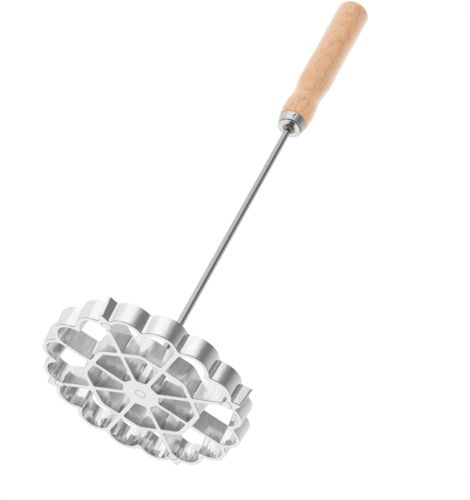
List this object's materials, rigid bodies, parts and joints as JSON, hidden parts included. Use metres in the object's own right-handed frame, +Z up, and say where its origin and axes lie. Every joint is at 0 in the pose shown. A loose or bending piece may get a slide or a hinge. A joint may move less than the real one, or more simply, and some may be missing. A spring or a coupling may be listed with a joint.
{
  "type": "rosette iron",
  "caption": "Cast flower-shaped mould with open cells, screwed on a straight rod with a ferruled wooden handle, for dipping in batter and frying.",
  "frame": {"origin": "centre of the mould's flat dipping face, on the surface that the iron stands on", "axes": "+Z up along the rod to the handle's domed end, +X and +Y through two neighbouring lifting ears"},
  "size_m": [0.1162, 0.1162, 0.31],
  "materials": {
    "cast_aluminium": "polished casting with a flat ground dipping face",
    "bright_steel": "bright drawn bar",
    "plated_ferrule": "satin nickel plate on drawn sheet",
    "beech": "turned, sanded and lightly sealed"
  },
  "bodies": {
    "mould": {"rosette_mould": "cast_aluminium"},
    "handle_and_rod": {"rod": "bright_steel", "ferrule": "plated_ferrule", "handle": "beech"}
  },
  "joints": [
    {"name": "mould_unscrew", "type": "slide", "parent": "mould", "child": "handle_and_rod", "axis": [0, 0, 1], "range_m": [0, 0.012]}
  ]
}
